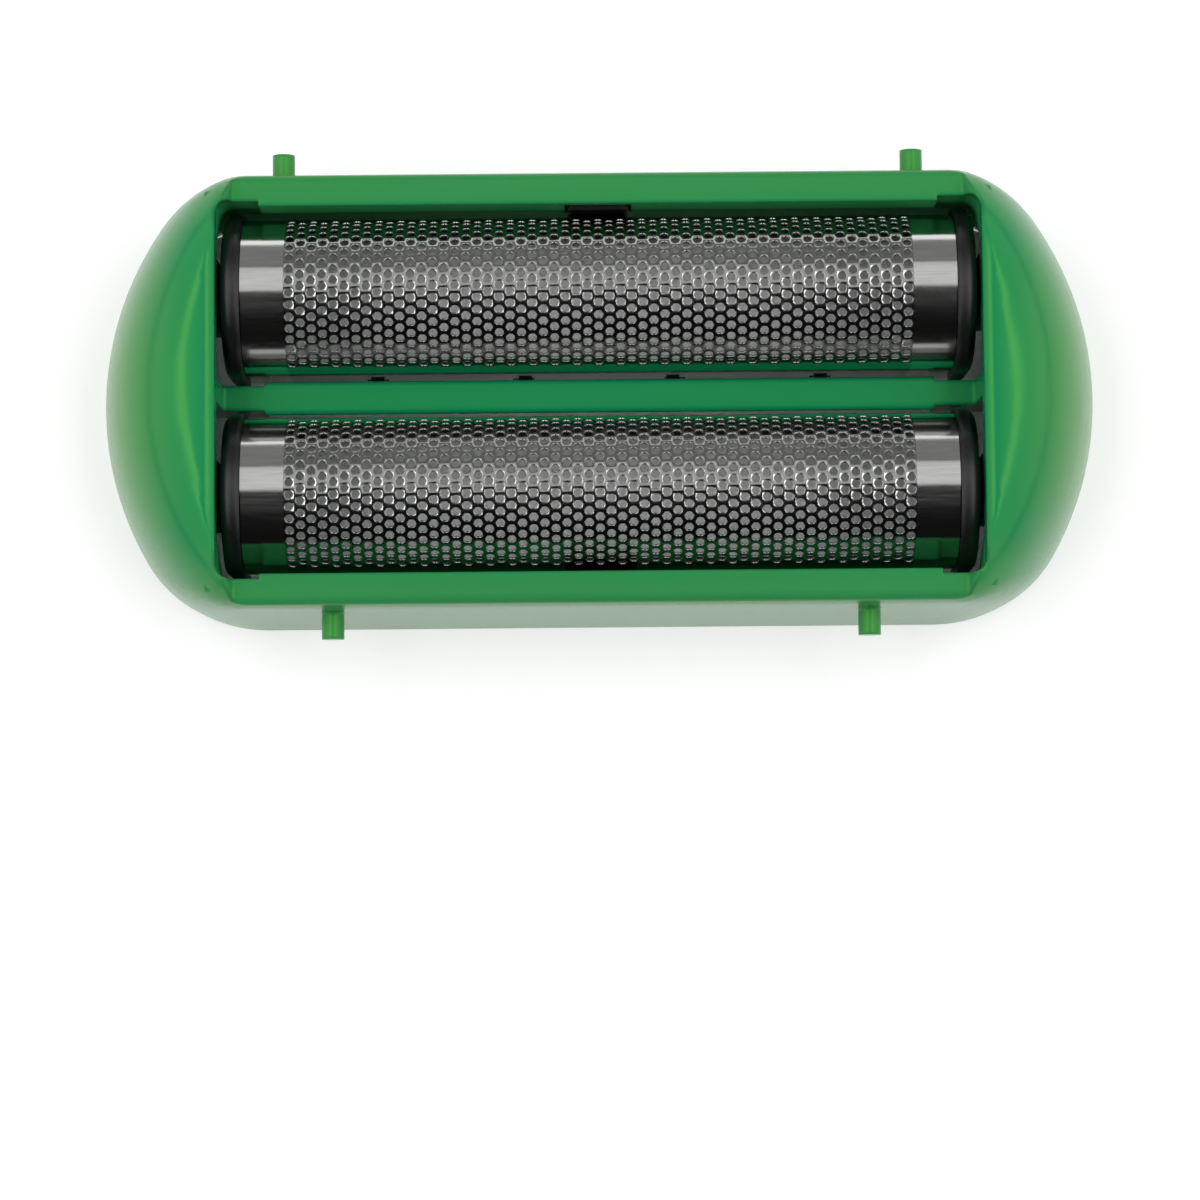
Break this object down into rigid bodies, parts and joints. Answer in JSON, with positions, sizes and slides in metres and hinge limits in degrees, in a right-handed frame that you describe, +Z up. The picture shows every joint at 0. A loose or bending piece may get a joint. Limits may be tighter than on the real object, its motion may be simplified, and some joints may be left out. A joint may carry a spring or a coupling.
{
  "type": "shaver foil head",
  "caption": "Rounded plastic shaver head with side pegs and perforated arched metal foils that float in its windows on black holders.",
  "frame": {"origin": "centre of the flat rim that the head stands on", "axes": "+X along the foils, +Y to the back where the pegs are further apart, +Z up towards the foils"},
  "size_m": [0.0612, 0.0294, 0.013],
  "materials": {
    "frame_plastic": "moulded green, glossy",
    "holder_plastic": "moulded black, satin gloss",
    "foil_steel": "thin etched foil, bright"
  },
  "bodies": {
    "head": {"head_frame": "frame_plastic"},
    "back_cassette": {"back_holder": "holder_plastic", "back_foil": "foil_steel"},
    "front_cassette": {"front_holder": "holder_plastic", "front_foil": "foil_steel"}
  },
  "joints": [
    {"name": "back_foil_float", "type": "slide", "parent": "head", "child": "back_cassette", "axis": [0, 0, 1], "range_m": [0, 0.0012]},
    {"name": "front_foil_float", "type": "slide", "parent": "head", "child": "front_cassette", "axis": [0, 0, 1], "range_m": [0, 0.0012]}
  ]
}
